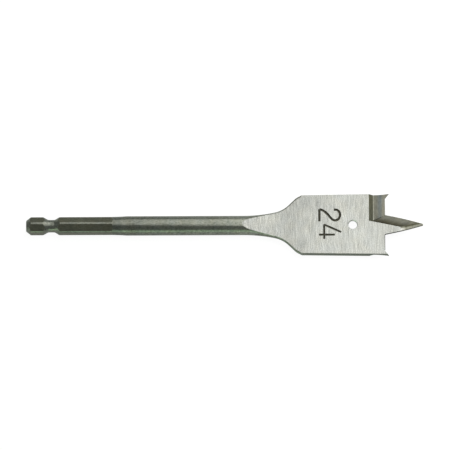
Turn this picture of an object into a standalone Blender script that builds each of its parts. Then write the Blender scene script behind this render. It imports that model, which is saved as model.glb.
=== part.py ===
"""Spade wood bit, 24 mm cutting diameter, on a quarter inch hex shank.

The bit is one forging of steel. A round bar is drawn to a hex at the shank and pressed flat at
the other end, then the faces, sides, lips and centre point are ground from the forged blank.
The script follows the same order: a turned bar, a lofted neck and blade, then the cuts.

X runs along the axis towards the point, Z is up and the blade is level. Stations along the axis
are counted from the end of the shank. The bit lies on its round shaft, centred over the origin.
"""

import math

import bmesh
import bpy
from mathutils import Matrix, Vector

# Lengths along the axis, in metres
OVERALL_LENGTH = 0.1524
HEX_LENGTH = 0.03295
SHOULDER_STEP = 0.00325
SHOULDER_CONE = 0.0025
NECK_START = 0.0836
POINT_LENGTH = 0.0146

# Shank: a quarter inch hex with rounded corners, and the groove for a ball catch
HEX_ACROSS_FLATS = 0.00635
HEX_CORNER_RADIUS = 0.003475
HEX_ROLL = math.radians(22)
HEX_RUNOUT = 0.0006
END_FACE_RADIUS = 0.00215
END_EDGE_ROUND = 0.0002
END_CHAMFER_ANGLE = math.radians(36)
GROOVE_START = 0.00657
GROOVE_BOTTOM_START = 0.00849
GROOVE_BOTTOM_LENGTH = 0.00249
GROOVE_END = 0.01275
GROOVE_RADIUS = 0.0024

# Round shaft, with the cone that leads up to it from the hex
SHOULDER_RADIUS = 0.00357
SHAFT_RADIUS = 0.003715

# Neck: the outline that flares from the shaft to the blade, seen from above
TAPER_RADIUS = 0.080
TAPER_ANGLE = math.radians(7.5)
FLARE_RADIUS = 0.011
FLANK_ANGLE = math.radians(42)
CORNER_RADIUS = 0.006
CORNER_ANGLE = math.radians(20)
CORNER_SETBACK = 0.00062
NECK_EDGE = 0.0015
FORGED_THICKNESS = 0.0023
FLATTENING_LENGTH = 0.0187

# Blade
CUTTING_DIAMETER = 0.024
BLADE_THICKNESS = 0.002
BACK_TAPER = 0.00047
SIDE_RELIEF = math.radians(14.5)
FORGED_MARGIN = 0.0014
FLASH_EDGE = 0.0005
HOLE_RADIUS = 0.0017
HOLE_CHAMFER = 0.0002
HOLE_TO_LIP = 0.0124

# Ground faces: a straight ramp and an arc that runs out level, and the thinned tip
RAMP_RUN = 0.0164
RAMP_ANGLE = math.radians(13)
RAMP_RADIUS = 0.047
TIP_THINNING_LENGTH = 0.0087
TIP_THINNING_ANGLE = math.radians(7)
TIP_THINNING_RADIUS = 0.0714

# Cutting lips, spurs and the hooked hollow in front of each lip
LIP_CLEARANCE = math.radians(9)
SPUR_HEIGHT = 0.0015
SPUR_WIDTH = 0.00192
HOOK_SETBACK = 0.0062
HOOK_DEPTH = 0.00102
HOOK_WALL_ANGLE = math.radians(31)
HOOK_FOOT_RADIUS = 0.00035
HOOK_RADIUS = 0.020
HOOK_END_SIDE = 0.00145
HOOK_END_FOOT_SIDE = 0.00242
HOOK_END_RADIUS = 0.0009
HOOK_END_SLANT = math.radians(21)
HOOK_END_RISE = math.radians(6)
HOOK_END_LEANS = (math.radians(30), math.radians(60))

# Centre point, and the hollow ground along the leading side of each half
POINT_ROOT_HALF = 0.00378
POINT_TIP_HALF = 0.00025
POINT_BOW = 0.0002
POINT_ROOT_FILLET = 0.0004
BEVEL_SETBACK = 0.00605
BEVEL_START_SIDE = 0.00149
BEVEL_ANGLE = math.radians(11.8)
BEVEL_EDGE_SLOPE = math.radians(14.2)
BEVEL_RADIUS = 0.0187
BEVEL_WIDTH = 0.0036
BEVEL_START_ANGLE = math.radians(28)

# How finely round shapes are cut up, and how far a cutter reaches past what it cuts. The bar's
# facets are wide enough to lie still on, and their middles lie at the true radius.
ROUND_STEPS = 24
HALF_STEP = math.pi / ROUND_STEPS
HOLE_STEPS = 40
ARC_STEP = math.radians(5)
SHARP_ANGLE = math.radians(18)
WELD_DISTANCE = 1e-6
CUTTER_REACH = 0.004

# Places worked out from the sizes above
LIP = OVERALL_LENGTH - POINT_LENGTH
FACE = BLADE_THICKNESS / 2
CUTTING_RADIUS = CUTTING_DIAMETER / 2
HOOK_RIM = LIP - HOOK_SETBACK

STEEL_COLOUR = (0.42, 0.43, 0.40, 1.0)
STEEL_ROUGHNESS = 0.38


def clear_scene():
    for obj in list(bpy.data.objects):
        bpy.data.objects.remove(obj, do_unlink=True)


def new_collection(name):
    collection = bpy.data.collections.new(name)
    bpy.context.scene.collection.children.link(collection)
    return collection


def steel():
    material = bpy.data.materials.new("satin_steel")
    material.use_nodes = True
    shader = material.node_tree.nodes["Principled BSDF"]
    shader.inputs["Base Color"].default_value = STEEL_COLOUR
    shader.inputs["Metallic"].default_value = 1.0
    shader.inputs["Roughness"].default_value = STEEL_ROUGHNESS
    return material


def arc(start, radius, from_angle, to_angle):
    """Points after start along an arc in (x, height), given its slope at both ends."""
    steps = max(1, math.ceil(abs(to_angle - from_angle) / ARC_STEP))
    turn = 1 if to_angle > from_angle else -1
    points = []
    for step in range(1, steps + 1):
        angle = from_angle + (to_angle - from_angle) * step / steps
        x = start[0] + turn * radius * (math.sin(angle) - math.sin(from_angle))
        height = start[1] + turn * radius * (math.cos(from_angle) - math.cos(angle))
        points.append((x, height))
    return points


def line(start, angle, run):
    """The point that lies a run along X from start, at a slope."""
    return (start[0] + run, start[1] + run * math.tan(angle))


def mesh_object(name, mesh, collection):
    obj = bpy.data.objects.new(name, mesh)
    collection.objects.link(obj)
    return obj


def as_mesh(obj):
    """A mesh object in place of a curve or of a mesh with modifiers, with its caps welded."""
    graph = bpy.context.evaluated_depsgraph_get()
    mesh = bpy.data.meshes.new_from_object(obj.evaluated_get(graph))
    shape = bmesh.new()
    shape.from_mesh(mesh)
    bmesh.ops.remove_doubles(shape, verts=shape.verts, dist=WELD_DISTANCE)
    bmesh.ops.recalc_face_normals(shape, faces=shape.faces)
    shape.to_mesh(mesh)
    shape.free()
    name = obj.name
    place = obj.matrix_world.copy()
    home = obj.users_collection[0]
    bpy.data.objects.remove(obj, do_unlink=True)
    mesh.name = name
    solid = mesh_object(name, mesh, home)
    solid.matrix_world = place
    return solid


def extruded(name, outline, half_depth, collection):
    """A flat outline in its own XY plane, thickened both ways along its own Z."""
    curve = bpy.data.curves.new(name, "CURVE")
    curve.dimensions = "2D"
    curve.fill_mode = "BOTH"
    curve.extrude = half_depth
    spline = curve.splines.new("POLY")
    spline.points.add(len(outline) - 1)
    for point, (x, y) in zip(spline.points, outline):
        point.co = (x, y, 0, 1)
    spline.use_cyclic_u = True
    obj = bpy.data.objects.new(name, curve)
    collection.objects.link(obj)
    return as_mesh(obj)


def turned(name, profile, steps, collection):
    """A solid turned about X from (station, radius) points. It is open where the profile is."""
    mesh = bpy.data.meshes.new(name)
    points = [(x, r * math.tan(math.pi / steps), r) for x, r in profile]
    mesh.from_pydata(points, [(i, i + 1) for i in range(len(points) - 1)], [])
    obj = mesh_object(name, mesh, collection)
    screw = obj.modifiers.new("turn", "SCREW")
    screw.axis = "X"
    screw.steps = steps
    screw.render_steps = steps
    screw.use_merge_vertices = True
    screw.merge_threshold = WELD_DISTANCE
    return as_mesh(obj)


def as_cutter(obj):
    obj.hide_render = True
    obj.display_type = "WIRE"
    return obj


def turned_over(cutter):
    """The same cutter half a turn round the bit's axis, where the grinder meets the other side."""
    name = cutter.name + "_turned"
    copy = mesh_object(name, cutter.data.copy(), cutter.users_collection[0])
    copy.matrix_world = Matrix.Rotation(math.pi, 4, "X") @ cutter.matrix_world
    return as_cutter(copy)


def cut(body, cutter):
    boolean = body.modifiers.new(cutter.name, "BOOLEAN")
    boolean.operation = "DIFFERENCE"
    boolean.solver = "EXACT"
    boolean.object = cutter


def trim(cutter, place, towards):
    """Takes off what lies behind a plane and closes the cutter there."""
    shape = bmesh.new()
    shape.from_mesh(cutter.data)
    everything = shape.verts[:] + shape.edges[:] + shape.faces[:]
    result = bmesh.ops.bisect_plane(
        shape, geom=everything, plane_co=place, plane_no=towards, clear_inner=True
    )
    rim = [item for item in result["geom_cut"] if isinstance(item, bmesh.types.BMEdge)]
    bmesh.ops.contextual_create(shape, geom=rim)
    bmesh.ops.recalc_face_normals(shape, faces=shape.faces)
    shape.to_mesh(cutter.data)
    shape.free()


def shank_profile():
    """(station, radius) from the middle of the end face to the start of the neck."""
    chamfer_length = (HEX_CORNER_RADIUS - END_FACE_RADIUS) / math.tan(END_CHAMFER_ANGLE)
    shoulder = HEX_LENGTH + SHOULDER_STEP
    return [
        (0, 0),
        (0, END_FACE_RADIUS - END_EDGE_ROUND),
        (END_EDGE_ROUND / 2, END_FACE_RADIUS),
        (chamfer_length, HEX_CORNER_RADIUS),
        (GROOVE_START, HEX_CORNER_RADIUS),
        (GROOVE_BOTTOM_START, GROOVE_RADIUS),
        (GROOVE_BOTTOM_START + GROOVE_BOTTOM_LENGTH, GROOVE_RADIUS),
        (GROOVE_END, HEX_CORNER_RADIUS),
        (HEX_LENGTH, HEX_CORNER_RADIUS),
        (shoulder, SHOULDER_RADIUS),
        (shoulder + SHOULDER_CONE, SHAFT_RADIUS),
        (NECK_START, SHAFT_RADIUS),
    ]


def neck_outline():
    """(station, half width) along the neck: a slow taper, a flare, a flank and a round corner."""
    shoulder_half = CUTTING_RADIUS - CORNER_SETBACK
    start = (NECK_START, SHAFT_RADIUS)
    taper = arc(start, TAPER_RADIUS, 0, TAPER_ANGLE)
    flare = arc(taper[-1], FLARE_RADIUS, TAPER_ANGLE, FLANK_ANGLE)
    corner_rise = CORNER_RADIUS * (math.cos(CORNER_ANGLE) - math.cos(FLANK_ANGLE))
    flank_rise = shoulder_half - corner_rise - flare[-1][1]
    flank_end = line(flare[-1], FLANK_ANGLE, flank_rise / math.tan(FLANK_ANGLE))
    corner = arc(flank_end, CORNER_RADIUS, FLANK_ANGLE, CORNER_ANGLE)
    return [start] + taper + flare + [flank_end] + corner


def smooth_step(share):
    share = min(1, max(0, share))
    return share * share * (3 - 2 * share)


def section(station, half_width, edge, half_height):
    """One slice of the forging: flat above and below, with elliptical edges.

    It has as many points as the turned bar, at the same angles, so a round slice meets the bar.
    """
    points = []
    for side in (1, -1):
        for step in range(ROUND_STEPS // 2):
            angle = math.pi / 2 - (2 * step + 1) * HALF_STEP
            across = math.cos(angle) / math.cos(HALF_STEP)
            up = math.sin(angle) / math.cos(HALF_STEP)
            y = side * (half_width - edge + edge * across)
            points.append(Vector((station, y, side * half_height * up)))
    return points


def blank_sections():
    """The slices of the forged blank, from the round bar to past the lips."""
    sections = []
    for station, half_width in neck_outline():
        flat = smooth_step((station - NECK_START) / FLATTENING_LENGTH)
        edge = half_width + (NECK_EDGE - half_width) * flat
        half_height = SHAFT_RADIUS + (FORGED_THICKNESS / 2 - SHAFT_RADIUS) * flat
        sections.append((station, half_width, edge, half_height))
    shoulder, half_width, edge, half_height = sections[-1]
    full_half = CUTTING_RADIUS + FORGED_MARGIN
    flash_end = shoulder + full_half - half_width
    sections.append((flash_end, full_half, FLASH_EDGE, half_height))
    sections.append((OVERALL_LENGTH, full_half, FLASH_EDGE, half_height))
    return sections


def forged_blank(material, collection, cutters):
    """The turned shank and shaft with the flattened end lofted on to them, as one closed body."""
    bar = turned("turned_bar", shank_profile(), ROUND_STEPS, cutters)
    shape = bmesh.new()
    shape.from_mesh(bar.data)
    bpy.data.objects.remove(bar, do_unlink=True)
    rings = [[shape.verts.new(p) for p in section(*slice_)] for slice_ in blank_sections()]
    for near, far in zip(rings, rings[1:]):
        for i in range(ROUND_STEPS):
            j = (i + 1) % ROUND_STEPS
            shape.faces.new((near[i], near[j], far[j], far[i]))
    shape.faces.new(rings[-1])
    bmesh.ops.remove_doubles(shape, verts=shape.verts, dist=WELD_DISTANCE)
    bmesh.ops.recalc_face_normals(shape, faces=shape.faces)
    mesh = bpy.data.meshes.new("spade_bit")
    shape.to_mesh(mesh)
    shape.free()
    mesh.materials.append(material)
    return mesh_object("spade_bit", mesh, collection)


def hex_die(collection):
    """A sleeve with a hexagonal bore that opens out at its mouth: it leaves the six flats."""
    flat = HEX_ACROSS_FLATS / 2
    mouth = HEX_LENGTH + HEX_RUNOUT
    rings = [(-CUTTER_REACH, flat), (HEX_LENGTH, flat), (mouth, flat + HEX_RUNOUT)]
    shape = bmesh.new()
    corners = []
    for station, apothem in rings:
        radius = apothem / math.cos(math.pi / 6)
        angles = [HEX_ROLL + math.pi / 6 + i * math.pi / 3 for i in range(6)]
        ring = [(station, -radius * math.sin(a), radius * math.cos(a)) for a in angles]
        corners.append([shape.verts.new(p) for p in ring])
    for near, far in zip(corners, corners[1:]):
        for i in range(6):
            j = (i + 1) % 6
            shape.faces.new((near[i], near[j], far[j], far[i]))
    mesh = bpy.data.meshes.new("hex_die")
    shape.to_mesh(mesh)
    shape.free()
    die = mesh_object("hex_die", mesh, collection)
    wall = die.modifiers.new("wall", "SOLIDIFY")
    wall.thickness = CUTTER_REACH
    wall.offset = 1
    wall.use_even_offset = True
    return as_cutter(as_mesh(die))


def face_grinder(collection):
    """The profile left on the upper face, seen from the side, and all the stock above it."""
    top = SHAFT_RADIUS + CUTTER_REACH
    level = NECK_START + RAMP_RUN
    arc_run = RAMP_RADIUS * math.sin(RAMP_ANGLE)
    arc_start = (level - arc_run, FACE + RAMP_RADIUS * (1 - math.cos(RAMP_ANGLE)))
    ramp_start = line(arc_start, -RAMP_ANGLE, (arc_start[1] - top) / math.tan(RAMP_ANGLE))
    ramp = [ramp_start, arc_start] + arc(arc_start, RAMP_RADIUS, -RAMP_ANGLE, 0)
    thin_start = (OVERALL_LENGTH - TIP_THINNING_LENGTH, FACE)
    tip_slope = math.asin(
        TIP_THINNING_LENGTH / TIP_THINNING_RADIUS - math.sin(TIP_THINNING_ANGLE)
    )
    tip = arc(thin_start, TIP_THINNING_RADIUS, -TIP_THINNING_ANGLE, tip_slope)
    end = line(tip[-1], tip_slope, CUTTER_REACH)
    outline = ramp + [thin_start] + tip + [end, (end[0], top)]
    half_width = CUTTING_RADIUS + CUTTER_REACH
    grinder = extruded("face_grinder", outline, half_width, collection)
    grinder.rotation_euler = (math.pi / 2, 0, 0)
    return as_cutter(grinder)


def side_grinder(collection):
    """A block against the side of the +Y wing, leaning in from the tip of its spur."""
    length = POINT_LENGTH + LIP - NECK_START
    bpy.ops.mesh.primitive_cube_add(size=1)
    block = bpy.context.object
    block.name = "side_grinder"
    block.users_collection[0].objects.unlink(block)
    collection.objects.link(block)
    block.data.transform(Matrix.Translation((0, 0.5, 0)))
    block.data.transform(Matrix.Diagonal((length * 2, CUTTER_REACH, CUTTER_REACH * 2, 1)))
    spur_tip = LIP + SPUR_HEIGHT
    shoulder = neck_outline()[-1][0]
    taper = math.atan2(BACK_TAPER, spur_tip - shoulder)
    block.location = (spur_tip, CUTTING_RADIUS, hook_height(spur_tip))
    block.rotation_euler = (-SIDE_RELIEF, 0, taper)
    return as_cutter(block)


def front_outline():
    """What is ground away in front of the +Y wing: lip, spur and the side of the point."""
    reach = OVERALL_LENGTH + CUTTER_REACH
    outside = CUTTING_RADIUS + CUTTER_REACH
    tip = Vector((OVERALL_LENGTH, POINT_TIP_HALF))
    root = Vector((LIP, POINT_ROOT_HALF))
    chord = tip - root
    side_angle = math.atan2(-chord.y, chord.x)
    turn = 2 * math.atan(2 * POINT_BOW / chord.length)
    radius = chord.length / 2 / math.sin(turn)
    root_slope = turn - side_angle
    side = arc(tuple(root), radius, root_slope, -side_angle - turn)
    leg = POINT_ROOT_FILLET * math.tan((math.pi / 2 + root_slope) / 2)
    lip_end = (LIP, POINT_ROOT_HALF + leg)
    fillet = arc(lip_end, POINT_ROOT_FILLET, -math.pi / 2, root_slope)
    spur_foot = (LIP, CUTTING_RADIUS - SPUR_WIDTH)
    spur_slope = math.atan2(SPUR_WIDTH, SPUR_HEIGHT)
    spur_out = line(spur_foot, spur_slope, (outside - spur_foot[1]) / math.tan(spur_slope))
    in_front = [(reach, POINT_TIP_HALF), (reach, outside), spur_out, spur_foot]
    return [lip_end] + fillet + side + in_front


def front_grinder(collection):
    """The front outline through the blade, leaning back below the leading edge for clearance."""
    grinder = extruded("front_grinder", front_outline(), FORGED_THICKNESS, collection)
    lean = Matrix.Identity(4)
    lean[0][2] = math.tan(LIP_CLEARANCE)
    lip_height = hook_height(LIP)
    grinder.data.transform(Matrix.Translation((0, 0, -lip_height)))
    grinder.data.transform(lean)
    grinder.data.transform(Matrix.Translation((0, 0, lip_height)))
    return as_cutter(grinder)


def hook_foot():
    """Where the hook's wall meets its hollow floor, as (station, height)."""
    fillet_drop = HOOK_FOOT_RADIUS * (1 - math.cos(HOOK_WALL_ANGLE))
    wall_run = (HOOK_DEPTH - fillet_drop) / math.tan(HOOK_WALL_ANGLE)
    fillet_run = HOOK_FOOT_RADIUS * math.sin(HOOK_WALL_ANGLE)
    return (HOOK_RIM + wall_run + fillet_run, FACE - HOOK_DEPTH)


def hook_height(station):
    """Height of the hook's hollow floor at a station."""
    foot = hook_foot()
    run = station - foot[0]
    return foot[1] + HOOK_RADIUS - math.sqrt(HOOK_RADIUS**2 - run**2)


def hook_grinder(collection):
    """The hollow in front of the +Y lip, whose inner end is round and runs slanting to the lip."""
    foot = hook_foot()
    rim = (HOOK_RIM, FACE)
    above = line(rim, -HOOK_WALL_ANGLE, -BLADE_THICKNESS)
    fillet_run = HOOK_FOOT_RADIUS * math.sin(HOOK_WALL_ANGLE)
    wall_end = line(rim, -HOOK_WALL_ANGLE, foot[0] - fillet_run - HOOK_RIM)
    fillet = arc(wall_end, HOOK_FOOT_RADIUS, -HOOK_WALL_ANGLE, 0)
    out_angle = math.acos(1 - 2 * HOOK_DEPTH / HOOK_RADIUS)
    floor = arc(foot, HOOK_RADIUS, 0, out_angle)
    top = above[1] + BLADE_THICKNESS
    outline = [above, wall_end] + fillet + floor + [(floor[-1][0], top), (above[0], top)]
    half_length = CUTTING_RADIUS + CUTTER_REACH
    grinder = extruded("hook_grinder", outline, half_length, collection)
    grinder.data.transform(Matrix.Rotation(math.pi / 2, 4, "X"))
    trim(grinder, (HOOK_RIM, HOOK_END_SIDE, FACE), (0, 1, 0))
    centre = Vector((foot[0], HOOK_END_FOOT_SIDE, foot[1] + HOOK_END_RADIUS))
    along = Vector((1, math.tan(HOOK_END_SLANT), math.tan(HOOK_END_RISE))).normalized()
    for lean in HOOK_END_LEANS:
        towards = Vector((0, math.cos(lean), math.sin(lean)))
        towards = (towards - along * along.dot(towards)).normalized()
        trim(grinder, centre - towards * HOOK_END_RADIUS, towards)
    return as_cutter(grinder)


def bevel_grinder(collection):
    """The hollow along the leading side of the point's +Y half, cut along a slanting line.

    It starts with a run-in that slopes less than the hook's wall, so the wall stays whole.
    """
    rim = (0, 0)
    above = line(rim, -BEVEL_EDGE_SLOPE, -BLADE_THICKNESS)
    outer_slope = math.asin(math.sin(BEVEL_EDGE_SLOPE) - BEVEL_WIDTH / BEVEL_RADIUS)
    hollow = arc(rim, BEVEL_RADIUS, -BEVEL_EDGE_SLOPE, -outer_slope)
    outline = [above, rim] + hollow + [(BEVEL_WIDTH, above[1])]
    half_length = (POINT_LENGTH + BEVEL_SETBACK + CUTTER_REACH) / 2
    grinder = extruded("bevel_grinder", outline, half_length, collection)
    # The outline's X becomes the way across the point, its Y becomes up
    across = Matrix(((0, 0, 1, 0), (1, 0, 0, 0), (0, 1, 0, 0), (0, 0, 0, 1)))
    grinder.data.transform(Matrix.Translation((half_length, 0, 0)) @ across)
    run_in = Matrix.Identity(4)
    run_in[0][2] = -1 / math.tan(BEVEL_START_ANGLE)
    grinder.data.transform(run_in)
    grinder.location = (LIP - BEVEL_SETBACK, BEVEL_START_SIDE, FACE)
    grinder.rotation_euler = (0, 0, -BEVEL_ANGLE)
    return as_cutter(grinder)


def hole_drill(collection):
    """A drill with a small countersink at both faces of the blade."""
    wide = HOLE_RADIUS + BLADE_THICKNESS
    sink = FACE - HOLE_CHAMFER
    high = sink + BLADE_THICKNESS
    profile = [(-high, 0), (-high, wide), (-sink, HOLE_RADIUS), (sink, HOLE_RADIUS)]
    profile += [(high, wide), (high, 0)]
    drill = turned("hole_drill", profile, HOLE_STEPS, collection)
    drill.location = (LIP - HOLE_TO_LIP, 0, 0)
    drill.rotation_euler = (0, math.pi / 2, 0)
    return as_cutter(drill)


def finished(body):
    """The body with its cuts made: triangles as they come, sharp where two faces meet."""
    graph = bpy.context.evaluated_depsgraph_get()
    mesh = bpy.data.meshes.new_from_object(body.evaluated_get(graph))
    body.modifiers.clear()
    body.data = mesh
    mesh.name = body.name
    mesh.shade_smooth()
    mesh.set_sharp_from_angle(angle=SHARP_ANGLE)
    return body


def spade_bit():
    parts = new_collection("spade_drill_bit")
    cutters = new_collection("cutters")
    body = forged_blank(steel(), parts, cutters)
    cut(body, hex_die(cutters))
    for make in (face_grinder, side_grinder, hook_grinder, bevel_grinder, front_grinder):
        cutter = make(cutters)
        bpy.context.view_layer.update()
        cut(body, cutter)
        cut(body, turned_over(cutter))
    cut(body, hole_drill(cutters))
    bpy.context.view_layer.update()
    finished(body)
    body.location = (-OVERALL_LENGTH / 2, 0, SHAFT_RADIUS)


clear_scene()
spade_bit()
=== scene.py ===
import math

import bmesh
import bpy
from mathutils import Matrix, Vector


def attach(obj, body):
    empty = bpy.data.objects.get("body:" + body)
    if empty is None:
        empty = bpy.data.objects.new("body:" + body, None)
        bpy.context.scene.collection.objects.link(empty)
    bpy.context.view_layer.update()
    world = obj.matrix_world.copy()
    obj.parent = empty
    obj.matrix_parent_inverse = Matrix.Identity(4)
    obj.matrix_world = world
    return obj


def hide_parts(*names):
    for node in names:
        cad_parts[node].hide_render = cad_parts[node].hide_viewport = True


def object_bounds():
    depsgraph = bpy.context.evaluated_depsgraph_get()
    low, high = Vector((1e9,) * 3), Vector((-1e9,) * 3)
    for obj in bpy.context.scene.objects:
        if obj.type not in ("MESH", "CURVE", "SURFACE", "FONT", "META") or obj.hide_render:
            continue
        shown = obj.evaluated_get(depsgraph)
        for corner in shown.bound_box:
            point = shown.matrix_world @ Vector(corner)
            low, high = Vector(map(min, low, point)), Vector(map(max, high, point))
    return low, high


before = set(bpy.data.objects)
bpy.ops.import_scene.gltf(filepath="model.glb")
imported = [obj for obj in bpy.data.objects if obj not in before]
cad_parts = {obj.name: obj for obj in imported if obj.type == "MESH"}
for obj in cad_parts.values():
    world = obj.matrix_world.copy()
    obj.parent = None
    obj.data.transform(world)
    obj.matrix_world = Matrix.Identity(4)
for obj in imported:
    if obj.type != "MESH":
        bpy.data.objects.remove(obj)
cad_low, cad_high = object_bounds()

# The view: a long lens looks down on the bit, tilted a little from the blade's normal towards its
# lower edge. The bit fills the width and lies almost level in the picture.
picture_size = 450
metres_per_pixel = 0.384e-3
middle_of_bit_px = (224.64, 225.56)
view_tilt = math.radians(12)
view_roll = math.atan(0.0038)
camera_distance = 2.5
sensor_width_mm = 36

axis_height = (cad_low.z + cad_high.z) / 2
middle_of_bit = Vector(((cad_low.x + cad_high.x) / 2, 0, axis_height))
turned = Matrix.Rotation(view_tilt, 4, "X") @ Matrix.Rotation(-view_roll, 4, "Z")
right = turned.to_3x3() @ Vector((1, 0, 0))
up = turned.to_3x3() @ Vector((0, 1, 0))
towards_camera = turned.to_3x3() @ Vector((0, 0, 1))
off_centre_x = (picture_size / 2 - middle_of_bit_px[0]) * metres_per_pixel
off_centre_y = (middle_of_bit_px[1] - picture_size / 2) * metres_per_pixel
aim = middle_of_bit + right * off_centre_x + up * off_centre_y

bpy.ops.object.select_all(action="DESELECT")
bpy.ops.object.camera_add()
camera = bpy.context.object
camera.matrix_world = Matrix.Translation(aim + towards_camera * camera_distance) @ turned
camera.data.type = "PERSP"
camera.data.sensor_width = sensor_width_mm
camera.data.lens = sensor_width_mm * camera_distance / (picture_size * metres_per_pixel)
camera.data.clip_start = 0.01
camera.data.clip_end = 50
bpy.context.scene.camera = camera

# Light: a dim room, a soft box close over the blade's end of the bit, which the blade shows and
# which fades along the shaft, and a long green one low on the near side, beyond the shank, which
# tints the lower half and fades towards the blade.
room_colour, room_brightness = (0.95, 1, 0.95), 0.27
softboxes = {
    "overhead": {
        "from_above": 37, "distance": 0.25, "along": 0.165, "size": (0.5, 0.36),
        "brightness": 1.35, "colour": (1, 0.99, 0.96),
    },
    "near_side": {
        "from_above": -81, "distance": 0.45, "along": -0.52, "size": (1.1, 0.19),
        "brightness": 1.25, "colour": (0.71, 1, 0.68),
    },
}


def hang_softbox(name, from_above, distance, along, size, brightness, colour):
    """An area light that leans out towards +Y by so many degrees and shines at the bit's axis."""
    bpy.ops.object.light_add(type="AREA")
    box = bpy.context.object
    box.name = name
    lean = Matrix.Rotation(math.radians(-from_above), 4, "X")
    box.matrix_world = lean @ Matrix.Translation((along, 0, distance))
    box.data.shape = "RECTANGLE"
    box.data.size, box.data.size_y = size
    box.data.energy = brightness * math.pi * size[0] * size[1]
    box.data.color = colour
    box.visible_camera = False


for name, box in softboxes.items():
    hang_softbox(name, **box)

world = bpy.data.worlds.new("room")
bpy.context.scene.world = world
world.use_nodes = True
room = world.node_tree.nodes["Background"]
room.inputs["Color"].default_value = (*room_colour, 1)
room.inputs["Strength"].default_value = room_brightness
bpy.context.scene.view_settings.view_transform = "Standard"

# Floor: a wide sheet of plain white card that the bit lies on. It shows white to the camera and
# in the steel, and a little of the light that falls on it, so that the bit keeps its soft shadow.
floor_size = 12
gap_under_bit = 0.00002
card_colour = (0.76, 0.8, 0.76, 1)
card_shown_colour = (0.2, 0.2, 0.2, 1)
card_glow_colour, card_glow = (1, 1, 1, 1), 0.93
card_glow_in_steel = 0.27


def feed(tree, node, fed):
    """Feeds a node values, sockets or the first outputs of nodes, in order or by its input's name."""
    for socket, value in fed.items() if isinstance(fed, dict) else enumerate(fed):
        if isinstance(value, bpy.types.Node):
            value = value.outputs[0]
        if isinstance(value, bpy.types.NodeSocket):
            tree.links.new(value, node.inputs[socket])
        else:
            node.inputs[socket].default_value = value


def add_node(tree, kind, fed, **settings):
    """Adds a node of a kind with these settings, and feeds it."""
    node = tree.nodes.new(kind)
    for setting, value in settings.items():
        setattr(node, setting, value)
    feed(tree, node, fed)
    return node


bpy.ops.object.select_all(action="DESELECT")
bpy.ops.mesh.primitive_plane_add(size=floor_size, location=(0, 0, -gap_under_bit))
floor = bpy.context.object
floor.name = "floor"
card = bpy.data.materials.new("white_card")
card.use_nodes = True
tree = card.node_tree
tree.nodes.clear()
path = tree.nodes.new("ShaderNodeLightPath").outputs
through = [path["Is Camera Ray"], path["Is Transmission Ray"]]
seen = add_node(tree, "ShaderNodeMath", through, operation="MAXIMUM")
in_steel = [path["Is Glossy Ray"], card_glow_in_steel, seen]
also_seen = add_node(tree, "ShaderNodeMath", in_steel, operation="MULTIPLY_ADD")
plain = add_node(tree, "ShaderNodeBsdfDiffuse", [card_colour])
faint = add_node(tree, "ShaderNodeBsdfDiffuse", [card_shown_colour])
glow = add_node(tree, "ShaderNodeEmission", [card_glow_colour, card_glow])
shown = add_node(tree, "ShaderNodeAddShader", [faint, glow])
surface = add_node(tree, "ShaderNodeMixShader", [also_seen, plain, shown])
add_node(tree, "ShaderNodeOutputMaterial", {"Surface": surface})
floor.data.materials.append(card)

# Grain: every finish of the bit is drawn from this one pattern. Long marks run one way, as a belt
# or a wheel leaves them, a little wavy, with short specks between them and broad, soft clouds.
clouds_per_metre, tints_per_metre = 120, 260
noise_low, noise_high = 0.3, 0.7
gloss_spread = 0.15
mark_depth = 2e-6


def start_group(name, places, numbers, made):
    """Starts a node group with its named inputs and outputs, and gives it and both its ends."""
    group = bpy.data.node_groups.new(name, "ShaderNodeTree")
    for socket in places:
        group.interface.new_socket(socket, in_out="INPUT", socket_type="NodeSocketVector")
    for socket in numbers:
        group.interface.new_socket(socket, in_out="INPUT", socket_type="NodeSocketFloat")
    for socket in made:
        group.interface.new_socket(socket, in_out="OUTPUT", socket_type="NodeSocketFloat")
    return group, group.nodes.new("NodeGroupInput").outputs, group.nodes.new("NodeGroupOutput")


grain, given, grain_end = start_group(
    "steel_grain", places=["Vector"], made=["Marks", "Clouds", "Tints"],
    numbers=["Marks per metre", "Length to width", "Waviness", "Specks"],
)
place, marks_per_metre = given["Vector"], given["Marks per metre"]
for socket, per_metre in (("Clouds", clouds_per_metre), ("Tints", tints_per_metre)):
    patches = add_node(grain, "ShaderNodeTexNoise", {"Vector": place, "Scale": per_metre, "Detail": 2})
    feed(grain, grain_end, {socket: patches})
# The marks sway to either side of their line, by the same noise as the tints
either_way = add_node(grain, "ShaderNodeMath", [patches, 0.5], operation="SUBTRACT")
sway = add_node(grain, "ShaderNodeMath", [either_way, given["Waviness"]], operation="MULTIPLY")
sideways = add_node(grain, "ShaderNodeCombineXYZ", [sway])
swayed = add_node(grain, "ShaderNodeVectorMath", [place, sideways], operation="ADD")
fewer = add_node(
    grain, "ShaderNodeMath", [marks_per_metre, given["Length to width"]], operation="DIVIDE",
)
stretch = add_node(grain, "ShaderNodeCombineXYZ", [marks_per_metre, fewer, fewer])
stretched = add_node(grain, "ShaderNodeVectorMath", [swayed, stretch], operation="MULTIPLY")
long_marks = add_node(
    grain, "ShaderNodeTexNoise", {"Vector": stretched, "Scale": 1, "Detail": 3, "Roughness": 0.6},
)
specks = add_node(
    grain, "ShaderNodeTexNoise", {"Vector": place, "Scale": marks_per_metre, "Detail": 2},
)
mingled = add_node(grain, "ShaderNodeMix", {"Factor": given["Specks"], "A": long_marks, "B": specks})
feed(grain, grain_end, {"Marks": mingled})


def grey(level):
    """A colour or tint without a hue."""
    return (level, level, level)


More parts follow.
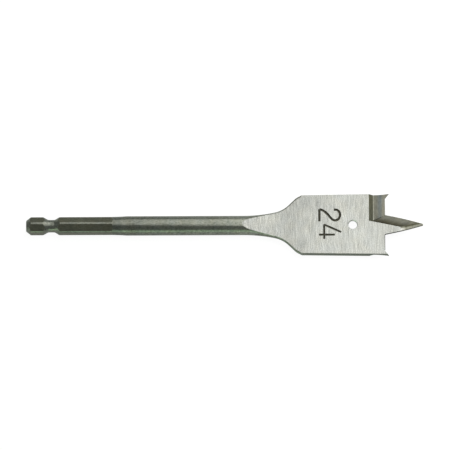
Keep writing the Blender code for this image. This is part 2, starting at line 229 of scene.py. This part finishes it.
def steel_finish(
    name, dark, light, roughness, per_metre, long, wavy=0, turn=0, specks=0.3, cloudy=0.1, tinted=0.02,
):
    """Steel with marks along Y, or turned from there, and colours from dark to light."""
    finish = bpy.data.materials.new(name)
    finish.use_nodes = True
    tree = finish.node_tree
    place = tree.nodes.new("ShaderNodeTexCoord").outputs["Object"]
    turning = {"Vector": place, "Rotation": (0, 0, math.radians(turn))}
    pattern = add_node(tree, "ShaderNodeGroup", {
        "Vector": add_node(tree, "ShaderNodeMapping", turning), "Marks per metre": per_metre,
        "Length to width": long, "Waviness": wavy, "Specks": specks,
    }, node_tree=grain)
    marks = pattern.outputs["Marks"]
    colour = add_node(tree, "ShaderNodeValToRGB", [marks])
    levels = ((noise_low, dark), (noise_high, light))
    for element, (level, shade) in zip(colour.color_ramp.elements, levels):
        element.position = level
        element.color = (*shade, 1)
    clouds = add_node(tree, "ShaderNodeMapRange", {
        "Value": pattern.outputs["Clouds"], "From Min": noise_low, "From Max": noise_high,
        "To Min": 1 - cloudy, "To Max": 1 + cloudy,
    })
    tints = add_node(tree, "ShaderNodeMapRange", {
        "Vector": pattern.outputs["Tints"],
        "From Min": grey(noise_low), "From Max": grey(noise_high),
        "To Min": (1 - tinted, 1, 1 + tinted * 2), "To Max": (1 + tinted, 1, 1 - tinted * 2),
    }, data_type="FLOAT_VECTOR")
    clouded = add_node(tree, "ShaderNodeVectorMath", [colour, clouds], operation="MULTIPLY")
    both = [clouded, tints.outputs["Vector"]]
    gloss = add_node(tree, "ShaderNodeMapRange", {
        "Value": marks,
        "To Min": roughness * (1 + gloss_spread), "To Max": roughness * (1 - gloss_spread),
    })
    feed(tree, tree.nodes["Principled BSDF"], {
        "Metallic": 1,
        "Base Color": add_node(tree, "ShaderNodeVectorMath", both, operation="MULTIPLY"),
        "Roughness": gloss,
        "Normal": add_node(tree, "ShaderNodeBump", {"Distance": mark_depth, "Height": marks}),
    })
    return finish


# Shank and shaft: a bar of steel, turned to a short chamfered head, a groove for a ball catch, a
# stretch that the hex is pressed on and a cone that leads up to the round shaft. Dark satin.
shank_end = cad_low.x
bar_start = (shank_end, 0, axis_height)
ring_points = 128
end_face_radius = 0.00195
end_edge = (0.0001, 0.00215)
hex_corner_radius = 0.003475
chamfer_end = 0.00182
groove_start, groove_bottom_start = 0.00657, 0.00849
groove_bottom_end, groove_end = 0.01098, 0.01275
groove_radius = 0.0024
hex_end = 0.03295
shoulder_start, shoulder_radius = 0.0362, 0.00357
shaft_start, shaft_radius = 0.0387, axis_height
neck_start = 0.0836
tiny = 1e-7

forged_finish = steel_finish(
    "forged_steel", dark=(0.14, 0.15, 0.124), light=(0.38, 0.395, 0.344), roughness=0.29,
    per_metre=2200, long=2.2, turn=90, cloudy=0.12,
)

# Bands: how far a place lies across a line drawn on the bit, from 0 at the first stop of a tint to
# 1 at its last. The line is on the upper half, and the other half is the same half a turn on.
bands, given, bands_end = start_group(
    "bands_across_bit", places=["Place", "Across"], numbers=["First", "Last"], made=["Share"],
)
from_start = add_node(bands, "ShaderNodeVectorMath", [given["Place"], bar_start], operation="SUBTRACT")
split = add_node(bands, "ShaderNodeSeparateXYZ", [from_start]).outputs
half = add_node(bands, "ShaderNodeMath", [split["Z"]], operation="SIGN")
side = add_node(bands, "ShaderNodeMath", [split["Y"], half], operation="MULTIPLY")
on_top = add_node(bands, "ShaderNodeCombineXYZ", [split["X"], side])
away = add_node(bands, "ShaderNodeVectorMath", [on_top, given["Across"]], operation="DOT_PRODUCT")
share = add_node(bands, "ShaderNodeMapRange", {
    "Value": away.outputs["Value"], "From Min": given["First"], "From Max": given["Last"],
})
feed(bands, bands_end, {"Share": share})


def tint_across(finish, start, heading, stops):
    """Tints a finish in bands along a line, which leaves a place (station, side) at a heading.

    Each stop is a distance to the left of the line, in millimetres, with the tint there.
    """
    tree = finish.node_tree
    first, last = stops[0][0], stops[-1][0]
    line = start[1] * math.cos(heading) - start[0] * math.sin(heading)
    band = add_node(tree, "ShaderNodeGroup", {
        "Place": tree.nodes.new("ShaderNodeTexCoord").outputs["Object"],
        "Across": (-math.sin(heading), math.cos(heading), 0),
        "First": line + first / 1000, "Last": line + last / 1000,
    }, node_tree=bands)
    tint = add_node(tree, "ShaderNodeValToRGB", [band])
    while len(tint.color_ramp.elements) < len(stops):
        tint.color_ramp.elements.new(1)
    for element, (distance, colour) in zip(tint.color_ramp.elements, stops):
        element.position = (distance - first) / (last - first)
        element.color = (*colour, 1)
    base_colour = tree.nodes["Principled BSDF"].inputs["Base Color"]
    both = [base_colour.links[0].from_socket, tint]
    tinted = add_node(tree, "ShaderNodeVectorMath", both, operation="MULTIPLY")
    tree.links.new(tinted.outputs[0], base_colour)


# Painted light along the bar: darkest on the corners of the hex and behind it, from there lighter
# towards the blade as a painted highlight that grows along the shaft, brightest just before the neck,
# and darker again on the edges of the neck
along_bit = math.radians(-90)
tint_across(forged_finish, (0, 0), along_bit, [
    (0, grey(0.79)), (12.5, grey(0.79)), (13.5, grey(0.62)), (32.4, grey(0.62)), (34.5, grey(0.56)),
    (38, grey(0.67)), (50, grey(0.69)), (60, grey(0.79)), (74, grey(0.86)), (80, grey(0.93)),
    (82.5, grey(1)), (90, grey(0.79)),
])

bpy.ops.object.select_all(action="DESELECT")
bpy.ops.mesh.primitive_circle_add(
    vertices=ring_points, radius=end_face_radius, fill_type="NGON",
    location=bar_start, rotation=(0, math.radians(90), 0),
)
bit = bpy.context.object
bit.name = "ground_bit"
bit.data.name = "ground_bit"
bpy.ops.object.transform_apply(location=True, rotation=True, scale=True)
bit.data.materials.append(forged_finish)


def select(test):
    """In edit mode, selects the points that pass the test, and the edges and faces between them."""
    cage = bmesh.from_edit_mesh(bpy.context.object.data)
    for point in cage.verts:
        point.select_set(test(point.co))
    cage.select_flush_mode()
    bmesh.update_edit_mesh(bpy.context.object.data)


def draw_out(before, after):
    """Draws the open end out to a station, as two half ellipses that lie spread apart."""
    station, spread, edge, half_height = after
    x = shank_end + station
    bpy.ops.mesh.extrude_region_move(TRANSFORM_OT_translate={"value": (station - before[0], 0, 0)})
    flatter = half_height / before[3]
    bpy.ops.transform.resize(value=(1, 1, flatter), center_override=(x, 0, axis_height))
    for side in (1, -1):
        select(lambda p: p.x > x - tiny and p.y * side > tiny)
        middle = (x, side * before[1], axis_height)
        bpy.ops.transform.resize(value=(1, edge / before[2], 1), center_override=middle)
        bpy.ops.transform.translate(value=(0, side * (spread - before[1]), 0))
    select(lambda p: p.x > x - tiny)


turned_rings = [
    (0, end_face_radius),
    end_edge,
    (chamfer_end, hex_corner_radius),
    (groove_start, hex_corner_radius),
    (groove_bottom_start, groove_radius),
    (groove_bottom_end, groove_radius),
    (groove_end, hex_corner_radius),
    (hex_end, hex_corner_radius),
    (shoulder_start, shoulder_radius),
    (shaft_start, shaft_radius),
    (neck_start, shaft_radius),
]
bpy.ops.object.mode_set(mode="EDIT")
bpy.ops.mesh.select_mode(type="VERT")
bpy.ops.mesh.select_all(action="SELECT")
bar = [(station, 0, radius, radius) for station, radius in turned_rings]
for before, after in zip(bar, bar[1:]):
    draw_out(before, after)

# Neck and blade: the end of the bar is pressed flat and flares to the blade, first slowly, then in
# a flank with a round corner. Its edges stay as they were forged, with the same dark finish.
taper_radius, taper_angle = 0.055, math.radians(12.5)
flare_radius, flank_angle = 0.011, math.radians(44)
corner_radius, corner_angle = 0.006, math.radians(20)
forged_edge = 0.0015
forged_half_height = 0.00115
flattening_length = 0.0187
blank_corner_half = 0.01138
blank_half = 0.0134
flash_edge = 0.0005
arc_step = math.radians(1.5)


def along_arc(start, radius, from_angle, to_angle):
    """(station, half width) points after start on an arc, given its slope at both ends."""
    steps = max(1, math.ceil(abs(to_angle - from_angle) / arc_step))
    way = 1 if to_angle > from_angle else -1
    points = []
    for step in range(1, steps + 1):
        angle = from_angle + (to_angle - from_angle) * step / steps
        station = start[0] + way * radius * (math.sin(angle) - math.sin(from_angle))
        half = start[1] + way * radius * (math.cos(from_angle) - math.cos(angle))
        points.append((station, half))
    return points


outline = along_arc((neck_start, shaft_radius), taper_radius, 0, taper_angle)
outline += along_arc(outline[-1], flare_radius, taper_angle, flank_angle)
corner_rise = corner_radius * (math.cos(corner_angle) - math.cos(flank_angle))
flank_rise = blank_corner_half - corner_rise - outline[-1][1]
flank_end = (outline[-1][0] + flank_rise / math.tan(flank_angle), outline[-1][1] + flank_rise)
outline += [flank_end] + along_arc(flank_end, corner_radius, flank_angle, corner_angle)
neck = [bar[-1]]
for station, half in outline:
    share = min(1, (station - neck_start) / flattening_length)
    flat = share * share * (3 - 2 * share)
    edge = half + (forged_edge - half) * flat
    half_height = shaft_radius + (forged_half_height - shaft_radius) * flat
    neck.append((station, half - edge, edge, half_height))
corner_station = outline[-1][0]
bit_length = cad_high.x - cad_low.x
for station in (corner_station + blank_half - blank_corner_half, bit_length):
    neck.append((station, blank_half - flash_edge, flash_edge, forged_half_height))
for before, after in zip(neck, neck[1:]):
    draw_out(before, after)

# The groove's corners are softly rounded, as the forming tool leaves them
groove_rounding, groove_rounding_steps = 0.0003, 4
for station in (groove_start, groove_bottom_start, groove_bottom_end, groove_end):
    select(lambda p: abs(p.x - shank_end - station) < tiny)
    bpy.ops.mesh.bevel(offset=groove_rounding, segments=groove_rounding_steps, affect="EDGES")
bpy.ops.object.mode_set(mode="OBJECT")

# Hex drive: six flats are pressed on the shank, a quarter inch apart, and run out short of the
# cone. The bar is left where it lies inside a hexagonal envelope that opens out behind them.
hex_apothem = 0.003175
hex_roll = math.radians(22)
hex_runout = 0.0006
envelope_overhang = 0.002
envelope_opening = 8
hex_finish = steel_finish(
    "pressed_hex", dark=(0.13, 0.132, 0.1), light=(0.22, 0.222, 0.172), roughness=0.3,
    per_metre=1800, long=3, turn=90, cloudy=0.08,
)


def work(tool, operation, finish):
    """Works on the bit with a solid, which leaves its finish on the faces that it makes."""
    tool.data.materials.clear()
    tool.data.materials.append(finish)
    bpy.context.view_layer.objects.active = bit
    cut = bit.modifiers.new("cut", "BOOLEAN")
    cut.operation = operation
    cut.object = tool
    cut.solver = "EXACT"
    cut.material_mode = "TRANSFER"
    bpy.ops.object.modifier_apply(modifier="cut")


bpy.ops.object.select_all(action="DESELECT")
bpy.ops.mesh.primitive_cylinder_add(
    vertices=6, radius=hex_apothem / math.cos(math.pi / 6), depth=hex_end + envelope_overhang,
    location=(shank_end + (hex_end - envelope_overhang) / 2, 0, axis_height),
    rotation=(0, math.radians(90), 0),
)
envelope = bpy.context.object
bpy.ops.object.transform_apply(location=True, rotation=True, scale=True)
bpy.ops.object.mode_set(mode="EDIT")
select(lambda p: p.x > shank_end + hex_end - tiny)
on_axis = (0, 0, axis_height)
runout_opening = 1 + hex_runout / hex_apothem
for step, opening in ((hex_runout, runout_opening), (hex_runout / 2, envelope_opening), (bit_length, 1)):
    bpy.ops.mesh.extrude_region_move(TRANSFORM_OT_translate={"value": (step, 0, 0)})
    bpy.ops.transform.resize(value=(1, opening, opening), center_override=on_axis)
bpy.ops.object.mode_set(mode="OBJECT")
to_axis = Matrix.Translation(on_axis)
envelope.data.transform(to_axis @ Matrix.Rotation(hex_roll, 4, "X") @ to_axis.inverted())
work(envelope, "INTERSECT", hex_finish)
bpy.data.objects.remove(envelope)

# Ground faces: a wheel runs down a straight ramp from the shaft, rounds into the level face and
# runs off the tip. The lines it leaves run across the blade, bright and close together.
face_height = 0.001
ramp_angle, ramp_radius = math.radians(13), 0.047
level_start = neck_start + 0.0164
clear_of_bit = 0.012
face_finish = steel_finish(
    "ground_face", dark=(0.254, 0.259, 0.245), light=(0.85, 0.86, 0.816), roughness=0.38,
    per_metre=3400, long=19, wavy=0.0018, specks=0.47, cloudy=0.03, tinted=0.01,
)
# Painted shade darkens the start of the ramp. Beyond it the face goes lighter and darker along the
# blade, and a little darker towards +Y.
tint_across(face_finish, (neck_start, 0), along_bit, [
    (-1, grey(0.76)), (1.2, grey(0.93)), (10, grey(0.88)), (18, grey(0.8)), (25, grey(0.9)),
    (38, grey(1)), (50, grey(0.96)), (58, grey(0.93)),
])
tint_across(face_finish, (0, 0), 0, [(-12, grey(1)), (12, grey(0.85))])


def start_at(x, z):
    """Starts a profile in the XZ plane with one point."""
    bpy.ops.object.select_all(action="DESELECT")
    bpy.ops.mesh.primitive_plane_add(size=clear_of_bit)
    bpy.ops.object.mode_set(mode="EDIT")
    bpy.ops.mesh.select_mode(type="VERT")
    bpy.ops.mesh.select_all(action="SELECT")
    bpy.ops.mesh.merge(type="CENTER")
    bpy.ops.transform.translate(value=(x, 0, z))


def end_point():
    """Where the profile has got to, which is the point that is selected."""
    cage = bmesh.from_edit_mesh(bpy.context.object.data)
    return next(point.co.copy() for point in cage.verts if point.select)


def straight_to(x, z):
    """Goes on in a straight line."""
    start = end_point()
    step = (x - start.x, 0, z - start.z)
    bpy.ops.mesh.extrude_region_move(TRANSFORM_OT_translate={"value": step})


def bend(heading, radius, turn):
    """Goes on along an arc, from a heading, by a turn that is positive to the left."""
    start = end_point()
    way = 1 if turn > 0 else -1
    centre = (start.x - way * radius * math.sin(heading), 0, start.z + way * radius * math.cos(heading))
    steps = max(2, math.ceil(abs(turn) / arc_step))
    bpy.ops.mesh.spin(steps=steps, angle=turn, center=centre, axis=(0, 1, 0))


def as_slab(low_y, high_y):
    """Closes the profile and thickens it along Y into a solid."""
    bpy.ops.mesh.select_all(action="SELECT")
    bpy.ops.mesh.remove_doubles(threshold=tiny)
    bpy.ops.mesh.edge_face_add()
    bpy.ops.transform.translate(value=(0, low_y, 0))
    bpy.ops.mesh.extrude_region_move(TRANSFORM_OT_translate={"value": (0, high_y - low_y, 0)})
    bpy.ops.mesh.select_all(action="SELECT")
    bpy.ops.mesh.normals_make_consistent(inside=False)
    bpy.ops.object.mode_set(mode="OBJECT")
    return bpy.context.object


def grind(wheel, finish):
    """Cuts with a wheel drawn about the bit's axis, then with the same half a turn round it."""
    wheel.data.transform(Matrix.Translation(bar_start))
    work(wheel, "DIFFERENCE", finish)
    wheel.data.transform(to_axis @ Matrix.Rotation(math.pi, 4, "X") @ to_axis.inverted())
    work(wheel, "DIFFERENCE", finish)
    bpy.data.objects.remove(wheel)


arc_start = level_start - ramp_radius * math.sin(ramp_angle)
arc_height = face_height + ramp_radius * (1 - math.cos(ramp_angle))
start_at(arc_start - (clear_of_bit - arc_height) / math.tan(ramp_angle), clear_of_bit)
straight_to(arc_start, arc_height)
bend(-ramp_angle, ramp_radius, ramp_angle)
straight_to(bit_length + clear_of_bit, face_height)
straight_to(bit_length + clear_of_bit, clear_of_bit)
grind(as_slab(-2 * clear_of_bit, 2 * clear_of_bit), face_finish)

# Thinned tip: the end of the point is ground down once more on both faces, with a round wheel that
# leaves it duller and browner than they are. Along the trailing side of the point a painted highlight is
# laid on, with a darker band just inside it.
tip_thinning_length, tip_thinning_angle = 0.0087, math.radians(7)
tip_thinning_radius = 0.0714
point_length, point_root_half, point_tip_half = 0.0146, 0.00378, 0.00025
tip_brown, side_painted_highlight = (0.42, 0.42, 0.36), (0.75, 0.75, 0.72)
tip_finish = steel_finish(
    "thinned_tip", dark=grey(0.45), light=grey(1), roughness=0.35, per_metre=1500, long=5, cloudy=0.1,
)

lip = bit_length - point_length
point_side = math.atan2(point_root_half - point_tip_half, point_length)
tint_across(tip_finish, (bit_length - tip_thinning_length, 0), along_bit, [
    (0, grey(1)), (0.8, (0.9, 0.9, 0.88)), (2, tip_brown), (8.7, tip_brown),
])
# A painted highlight along the point's trailing side, then a darker band just inside it
tint_across(tip_finish, (lip, -point_root_half), point_side, [
    (0, side_painted_highlight), (0.6, side_painted_highlight), (0.9, (0.26, 0.26, 0.2)), (1.6, (0.2, 0.2, 0.16)),
])
start_at(bit_length - tip_thinning_length, clear_of_bit)
straight_to(bit_length - tip_thinning_length, face_height)
tip_slope = math.asin(tip_thinning_length / tip_thinning_radius - math.sin(tip_thinning_angle))
bend(-tip_thinning_angle, tip_thinning_radius, tip_thinning_angle + tip_slope)
straight_to(bit_length + clear_of_bit, end_point().z)
straight_to(bit_length + clear_of_bit, clear_of_bit)
grind(as_slab(-clear_of_bit, clear_of_bit), tip_finish)

# Hooks: in front of each lip a small wheel cuts a steep wall, a tight round foot and a hollow floor that
# rises to the lip. Its inner end slants along the point. Painted darker than the face as painted shade,
# with a painted highlight along the foot and lighter towards the lip.
cutting_radius = 0.012
spur_height = 0.0015
hook_rim = lip - 0.0062
hook_depth = 0.00102
hook_wall_angle = math.radians(31)
hook_foot_radius = 0.00035
hook_radius = 0.020
hook_end_side, hook_end_foot_side = 0.00145, 0.00242
hook_end_radius = 0.0009
hook_end_slant, hook_end_rise = math.radians(21), math.radians(6)
hook_end_leans = range(15, 90, 10)
wall_brown, foot_painted_highlight = (0.215, 0.215, 0.155), (0.37, 0.37, 0.31)
floor_brown, floor_blue, lip_brown = (0.185, 0.185, 0.152), (0.172, 0.187, 0.178), (0.26, 0.255, 0.21)
hook_finish = steel_finish(
    "hook_grind", dark=grey(0.6), light=grey(1), roughness=0.33, per_metre=2000, long=4, cloudy=0.1,
)
# Bands across the hook: painted shade on the wall and floor, a painted highlight along the foot, and
# lighter towards the lip
tint_across(hook_finish, (hook_rim, 0), along_bit, [
    (0, wall_brown), (1.45, wall_brown), (1.7, foot_painted_highlight), (2.1, floor_brown), (3.0, floor_brown),
    (3.9, floor_blue), (4.6, floor_blue), (5.4, lip_brown), (6.2, lip_brown),
])


def trim(place, towards):
    """Takes off what lies behind a plane from the solid in edit mode, and closes it there."""
    bpy.ops.mesh.select_all(action="SELECT")
    bpy.ops.mesh.bisect(
        plane_co=place, plane_no=towards, use_fill=True, clear_inner=True, threshold=tiny,
    )


foot_drop = hook_foot_radius * (1 - math.cos(hook_wall_angle))
wall_run = (hook_depth - foot_drop) / math.tan(hook_wall_angle)
start_at(hook_rim - clear_of_bit / math.tan(hook_wall_angle), face_height + clear_of_bit)
straight_to(hook_rim + wall_run, face_height - hook_depth + foot_drop)
bend(-hook_wall_angle, hook_foot_radius, hook_wall_angle)
hook_foot = end_point()
bend(0, hook_radius, math.acos(1 - 2 * hook_depth / hook_radius))
straight_to(end_point().x, face_height + clear_of_bit)
hook_wheel = as_slab(-cutting_radius, 2 * clear_of_bit)


def hollow_height(station):
    """Height of the hook's floor above the bit's axis."""
    return hook_foot.z + hook_radius - math.sqrt(hook_radius**2 - (station - hook_foot.x) ** 2)


bpy.ops.object.mode_set(mode="EDIT")
trim((hook_rim, hook_end_side, face_height), (0, 1, 0))
end_middle = Vector((hook_foot.x, hook_end_foot_side, hook_foot.z + hook_end_radius))
along_end = Vector((1, math.tan(hook_end_slant), math.tan(hook_end_rise))).normalized()
for lean in hook_end_leans:
    towards = Vector((0, math.cos(math.radians(lean)), math.sin(math.radians(lean))))
    towards = (towards - along_end * along_end.dot(towards)).normalized()
    trim(end_middle - towards * hook_end_radius, towards)
bpy.ops.object.mode_set(mode="OBJECT")
grind(hook_wheel, hook_finish)

# Ground sides: each is relieved behind the edge that leads and tapers back from the spurs, so that
# only the cutting edges touch the bore. They are ground dull, along the blade.
side_relief = math.radians(14.5)
back_taper = 0.00047
side_wheel_size = (0.12, 0.006, 0.012)
side_finish = steel_finish(
    "ground_side", dark=(0.15, 0.165, 0.14), light=(0.24, 0.255, 0.215), roughness=0.4,
    per_metre=1800, long=6, turn=90,
)

bpy.ops.object.select_all(action="DESELECT")
bpy.ops.mesh.primitive_cube_add(size=1, location=(0, 0.5, 0))
side_wheel = bpy.context.object
bpy.ops.object.transform_apply(location=True, rotation=True, scale=True)
side_wheel.data.transform(Matrix.Diagonal((*side_wheel_size, 1)))
taper_turn = math.atan2(back_taper, lip + spur_height - corner_station)
lean_in = Matrix.Rotation(taper_turn, 4, "Z") @ Matrix.Rotation(-side_relief, 4, "X")
spur_tip = Matrix.Translation((lip + spur_height, cutting_radius, hollow_height(lip + spur_height)))
side_wheel.data.transform(spur_tip @ lean_in)
grind(side_wheel, side_finish)

# Point hollows: along the leading side of each half of the point a narrow wheel takes a hollow that
# starts at the hook and runs slanting over the axis. Painted dark as painted shade, darkest along its
# outer edge.
bevel_start = (lip - 0.00605, 0.00149)
bevel_slant = math.radians(11.8)
bevel_edge_slope, bevel_radius = math.radians(14.2), 0.0187
bevel_width, bevel_overhang = 0.0036, 0.002
bevel_run_in, bevel_run_in_length = math.radians(28), 0.01
bevel_finish = steel_finish(
    "point_grind", dark=grey(0.6), light=grey(1), roughness=0.33, per_metre=2000, long=6, turn=60,
    cloudy=0.2,
)
# Painted shade across the hollow, darkest along its outer edge
tint_across(bevel_finish, bevel_start, -bevel_slant, [
    (0, (0.04, 0.038, 0.026)), (0.9, (0.075, 0.073, 0.053)), (2.4, (0.165, 0.165, 0.137)),
])

bevel_rim = bevel_overhang * math.tan(bevel_edge_slope)
outer_slope = math.asin(math.sin(bevel_edge_slope) - bevel_width / bevel_radius)
start_at(-bevel_overhang, bevel_rim)
straight_to(0, 0)
bend(-bevel_edge_slope, bevel_radius, bevel_edge_slope - outer_slope)
straight_to(bevel_width, bevel_rim)
bevel_wheel = as_slab(-2 * point_length, bevel_run_in_length)
bevel_wheel.data.transform(Matrix.Rotation(math.radians(90), 4, "Z"))
bpy.ops.object.mode_set(mode="EDIT")
trim((0, 0, 0), (1, 0, 1 / math.tan(bevel_run_in)))
bpy.ops.object.mode_set(mode="OBJECT")
slanted = Matrix.Rotation(-bevel_slant, 4, "Z")
bevel_wheel.data.transform(Matrix.Translation((*bevel_start, face_height)) @ slanted)
grind(bevel_wheel, bevel_finish)

# Lips, spurs and point: the front of each wing is cut back to its lip, out to the spur and in along the
# side of the point, leaning back underneath for clearance. These flanks are painted dark, as painted
# shade.
spur_width = 0.00192
point_root_fillet = 0.0004
point_bow = 0.0002
lip_clearance = math.radians(9)
front_half_height = 0.004
flank_finish_painted_dark = steel_finish(
    "ground_flank", dark=(0.05, 0.055, 0.045), light=(0.1, 0.105, 0.09), roughness=0.38,
    per_metre=1800, long=6,
)
# Painted shade: the grazing sheen is tinted down too, so that the flanks stay dark
feed(flank_finish_painted_dark.node_tree, flank_finish_painted_dark.node_tree.nodes["Principled BSDF"], {
    "Specular Tint": (*grey(0.3), 1),
})

side_length = math.hypot(point_length, point_root_half - point_tip_half)
bow_turn = 2 * math.atan(2 * point_bow / side_length)
root_heading = bow_turn - point_side
fillet_leg = point_root_fillet * math.tan((math.pi / 2 + root_heading) / 2)
start_at(lip, point_root_half + fillet_leg)
bend(-math.pi / 2, point_root_fillet, math.pi / 2 + root_heading)
fillet_end = end_point()
to_tip = Vector((bit_length - fillet_end.x, point_tip_half - fillet_end.z))
side_turn = 2 * (math.atan2(to_tip.y, to_tip.x) - root_heading)
bend(root_heading, to_tip.length / 2 / math.sin(abs(side_turn) / 2), side_turn)
beyond = cutting_radius + clear_of_bit
straight_to(bit_length + clear_of_bit, point_tip_half)
straight_to(bit_length + clear_of_bit, beyond)
spur_foot = cutting_radius - spur_width
straight_to(lip + (beyond - spur_foot) * spur_height / spur_width, beyond)
straight_to(lip, spur_foot)
front_wheel = as_slab(-front_half_height, front_half_height)
front_wheel.data.transform(Matrix.Rotation(math.radians(-90), 4, "X"))
bpy.ops.object.mode_set(mode="EDIT")
for height in (front_half_height, -front_half_height):
    select(lambda p: p.z * height > 0)
    lean_back = math.tan(lip_clearance) * (height - hollow_height(lip))
    bpy.ops.transform.translate(value=(lean_back, 0, 0))
bpy.ops.object.mode_set(mode="OBJECT")
grind(front_wheel, flank_finish_painted_dark)

# Hole: drilled through the blade behind the lips, so that a wire can be pulled back through the
# bore with the bit. Both rims are broken, and its wall is bright.
hole_radius, hole_points = 0.0017, 64
hole_sink = 0.0002
hole_station = lip - 0.0124
hole_finish = steel_finish(
    "drilled_hole", dark=(0.75, 0.76, 0.73), light=(0.95, 0.96, 0.93), roughness=0.4,
    per_metre=2000, long=4, turn=90,
)

at_hole = (shank_end + hole_station, 0, axis_height)
bpy.ops.object.select_all(action="DESELECT")
bpy.ops.mesh.primitive_cylinder_add(
    vertices=hole_points, radius=hole_radius, depth=2 * (face_height - hole_sink), location=at_hole,
)
drill = bpy.context.object
bpy.ops.object.transform_apply(location=True, rotation=True, scale=True)
bpy.ops.object.mode_set(mode="EDIT")
wider = (hole_radius + face_height) / hole_radius
for way in (1, -1):
    select(lambda p: (p.z - axis_height) * way > face_height / 2)
    bpy.ops.mesh.extrude_region_move(TRANSFORM_OT_translate={"value": (0, 0, way * face_height)})
    bpy.ops.transform.resize(value=(wider, wider, 1), center_override=at_hole)
bpy.ops.object.mode_set(mode="OBJECT")
work(drill, "DIFFERENCE", hole_finish)
bpy.data.objects.remove(drill)

# Size mark: the digits 24, engraved across the blade with a round-nosed tool in single strokes,
# so that they read from the blade's side. Their bottoms are dark.
mark_radius = 0.0005
two_half_width, four_half_width = 0.00046, 0.00041
two_base = [(112.6, 6.1), (112.6, 1.3)]
two_hook = [
    (112.6, 5.98), (113.6, 5.75), (115.7, 4.17), (116.85, 2.75), (118.1, 1.75), (119.4, 1.85),
    (120.35, 3.0), (120.42, 4.4), (119.7, 5.55), (118.2, 5.95),
]
four_strokes = [
    [(114.4, 0.15), (114.4, -5.6)],
    [(114.4, 0.03), (120.9, -2.93)],
    [(112.4, -3.91), (118.5, -3.91)],
]
mark_finish = steel_finish(
    "engraved_mark", dark=(0.055, 0.053, 0.04), light=(0.11, 0.108, 0.085), roughness=0.5,
    per_metre=2000, long=2,
)


def engrave(places, half_width, rounded=False):
    """Cuts one stroke along places given in millimetres, as (station, distance to the left)."""
    lift = math.sqrt(mark_radius**2 - half_width**2)
    stroke = bpy.data.curves.new("stroke", "CURVE")
    stroke.dimensions = "3D"
    stroke.bevel_depth = mark_radius
    stroke.bevel_resolution = 5
    stroke.use_fill_caps = True
    spline = stroke.splines.new("BEZIER")
    spline.bezier_points.add(len(places) - 1)
    spline.resolution_u = 8
    for point, (station, side) in zip(spline.bezier_points, places):
        point.co = (shank_end + station / 1000, side / 1000, axis_height + face_height + lift)
        point.handle_left_type = point.handle_right_type = "AUTO" if rounded else "VECTOR"
    tool = bpy.data.objects.new("stroke", stroke)
    bpy.context.scene.collection.objects.link(tool)
    bpy.ops.object.select_all(action="DESELECT")
    tool.select_set(True)
    bpy.context.view_layer.objects.active = tool
    bpy.ops.object.convert(target="MESH")
    tool = bpy.context.object
    bpy.ops.object.mode_set(mode="EDIT")
    bpy.ops.mesh.select_all(action="SELECT")
    bpy.ops.mesh.remove_doubles(threshold=tiny)
    bpy.ops.mesh.normals_make_consistent(inside=False)
    bpy.ops.object.mode_set(mode="OBJECT")
    work(tool, "DIFFERENCE", mark_finish)
    bpy.data.objects.remove(tool)


engrave(two_base, two_half_width)
engrave(two_hook, two_half_width, rounded=True)
for stroke in four_strokes:
    engrave(stroke, four_half_width)

# The finished bit: one piece of steel, smooth where it is round and sharp where two grinds meet. It
# takes the place of the plain solid.
sharp_angle = math.radians(20)

bpy.ops.object.select_all(action="DESELECT")
bit.select_set(True)
bpy.context.view_layer.objects.active = bit
bpy.ops.object.shade_smooth_by_angle(angle=sharp_angle)
even = bit.modifiers.new("even", "WEIGHTED_NORMAL")
even.keep_sharp = True
even.weight = 100
bpy.ops.object.modifier_apply(modifier="even")
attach(bit, "root")
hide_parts("spade_bit")
